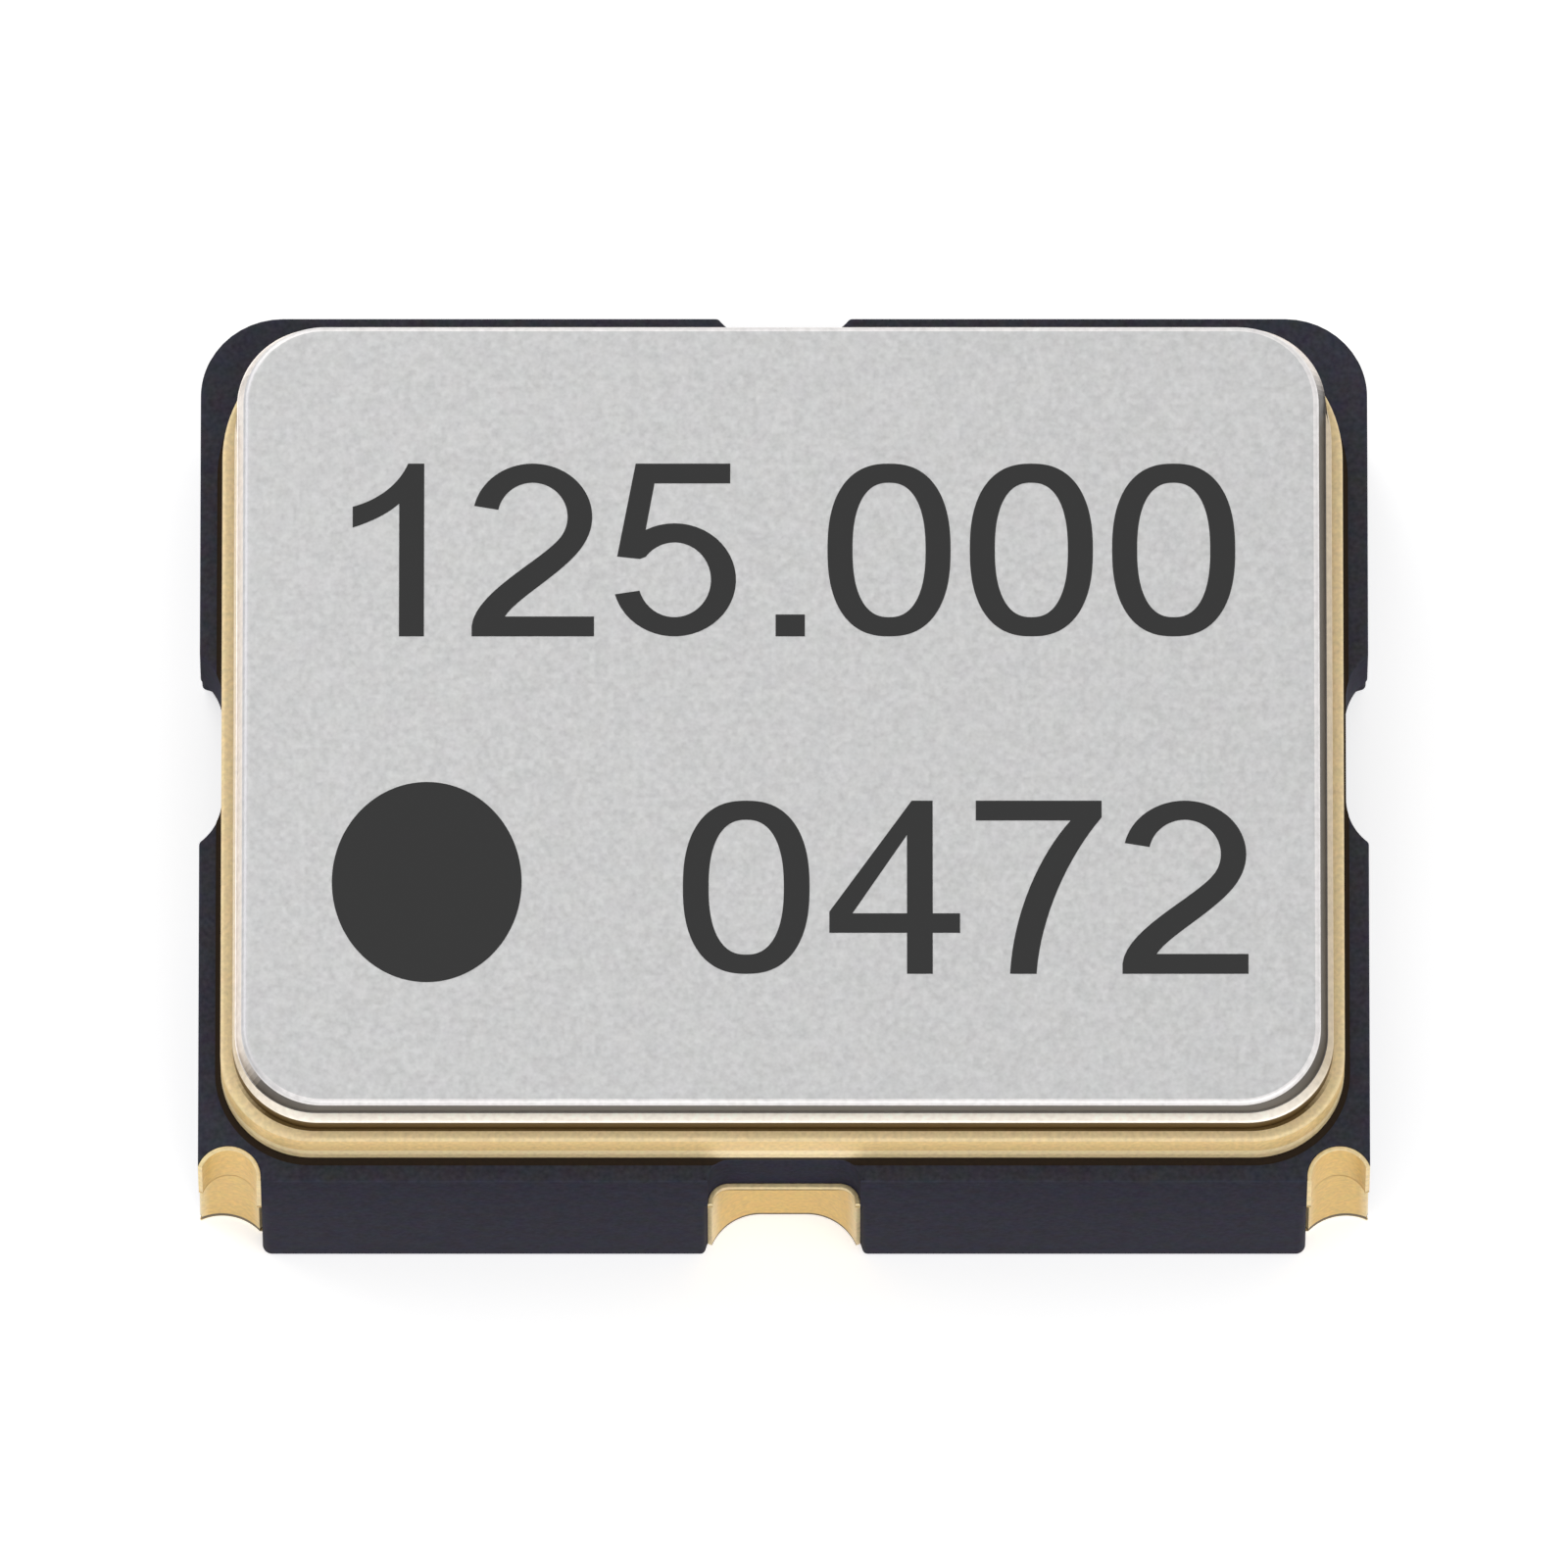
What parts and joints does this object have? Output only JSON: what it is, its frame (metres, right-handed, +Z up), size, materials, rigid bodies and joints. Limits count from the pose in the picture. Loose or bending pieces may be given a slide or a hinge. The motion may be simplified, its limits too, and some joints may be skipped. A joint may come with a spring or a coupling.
{
  "type": "surface-mount crystal oscillator",
  "caption": "Surface-mount clock oscillator: black ceramic package with gold solder pads and notches, a gold seal ring and a stepped metal lid over a chip and quartz blank.",
  "frame": {"origin": "under the middle of the body, on the plane of the solder pads", "axes": "+X along the long side, +Z up through the lid; terminal 1 is at the front left (-X, -Y), under the dot on the lid"},
  "size_m": [0.0032, 0.0024, 0.0009],
  "materials": {
    "ceramic": "matt sintered black alumina",
    "gold_plating": "satin gold plating over nickel",
    "braze": "dark fillet of silver-copper braze",
    "lid_metal": "fine-grained nickel-plated iron-nickel alloy",
    "silicon": "polished silicon",
    "die_attach": "silver-filled adhesive",
    "bond_metal": "bare aluminium pad metal",
    "bond_wire": "drawn gold wire",
    "quartz": "lapped quartz",
    "electrode": "evaporated silver"
  },
  "bodies": {
    "root": {"ceramic_base": "ceramic", "terminal_1": "gold_plating", "terminal_2": "gold_plating", "terminal_3": "gold_plating", "terminal_4": "gold_plating", "side_castellation_front": "gold_plating", "notch_land_front": "gold_plating", "seal_braze": "braze", "seal_ring": "gold_plating", "lid": "lid_metal", "die_attach": "die_attach", "ic_die": "silicon", "die_pad_1": "bond_metal", "die_pad_2": "bond_metal", "die_pad_3": "bond_metal", "die_pad_4": "bond_metal", "die_pad_5": "bond_metal", "die_pad_6": "bond_metal", "bond_finger_1": "gold_plating", "bond_finger_2": "gold_plating", "bond_finger_3": "gold_plating", "bond_finger_4": "gold_plating", "bond_finger_5": "gold_plating", "bond_finger_6": "gold_plating", "bond_wire_1": "bond_wire", "bond_wire_2": "bond_wire", "bond_wire_3": "bond_wire", "bond_wire_4": "bond_wire", "bond_wire_5": "bond_wire", "bond_wire_6": "bond_wire", "crystal_pad_front": "gold_plating", "crystal_pad_back": "gold_plating", "adhesive_front": "die_attach", "adhesive_back": "die_attach", "electrode_bottom": "electrode", "crystal_blank": "quartz", "electrode_top": "electrode"}
  },
  "joints": []
}
